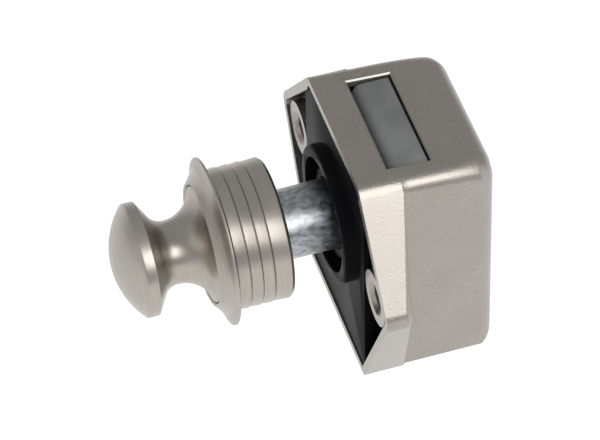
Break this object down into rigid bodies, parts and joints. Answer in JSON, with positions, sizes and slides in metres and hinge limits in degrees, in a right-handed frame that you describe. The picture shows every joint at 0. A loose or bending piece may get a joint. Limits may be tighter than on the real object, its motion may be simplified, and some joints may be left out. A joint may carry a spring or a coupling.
{
  "type": "push button cabinet lock",
  "caption": "Push lock for a cabinet door: pressing the knob pushes a bolt out of the case behind the door and holds it, and pressing again lets it go.",
  "frame": {"origin": "on the knob's axis, in the plane of the case's rim that stands against the door's rear face, midway between the two screw holes", "axes": "+Z is the way the bolt goes out, -Y runs along the knob's axis from the case through the door to the knob, X runs along the two ears"},
  "size_m": [0.0466, 0.0514, 0.0366],
  "materials": {
    "satin_nickel": "satin nickel paint on die cast zinc, fine speckle",
    "black_plastic": "moulded black plastic with a slight gloss",
    "grey_plastic": "moulded dark grey plastic with a dull sheen",
    "brushed_nickel": "nickel plated and brushed round the axis",
    "zinc_plate": "zinc plated steel, mottled bluish grey",
    "spring_steel": "bright drawn spring steel",
    "dark_steel": "phosphated steel",
    "brass_plain": "plain turned brass"
  },
  "bodies": {
    "case": {"housing_shell": "satin_nickel", "base_insert": "black_plastic", "shaft_bush": "black_plastic", "spring_guide": "zinc_plate", "button_spring": "spring_steel", "catch_spring": "spring_steel", "catch_rivet": "brass_plain"},
    "knob": {"knob": "brushed_nickel", "knob_stud": "zinc_plate", "shaft": "zinc_plate", "stop_clip": "dark_steel", "drive_pins": "spring_steel"},
    "bolt": {"latch_bolt": "grey_plastic"},
    "catch": {"catch_wire": "spring_steel"},
    "escutcheon": {"rosette": "brushed_nickel", "sleeve": "brushed_nickel", "sleeve_liner": "black_plastic"}
  },
  "joints": [
    {"name": "knob_push", "type": "slide", "parent": "case", "child": "knob", "axis": [0, 1, 0], "range_m": [0, 0.009], "stiffness_N_per_m": 400, "springref_m": -0.02, "deforming": ["button_spring"]},
    {"name": "bolt_slide", "type": "slide", "parent": "case", "child": "bolt", "axis": [0, 0, 1], "range_m": [0, 0.007]},
    {"name": "catch_swing", "type": "hinge", "parent": "case", "child": "catch", "pos_m": [0, 0.0134, -0.018], "axis": [0, 1, 0], "range_deg": [0, 40]},
    {"name": "rosette_slide", "type": "slide", "parent": "case", "child": "escutcheon", "axis": [0, 1, 0], "range_m": [-0.002, 0.006]}
  ],
  "couplings": [
    {"joint": "bolt_slide", "follows": "knob_push", "ratio": 0.7777}
  ]
}
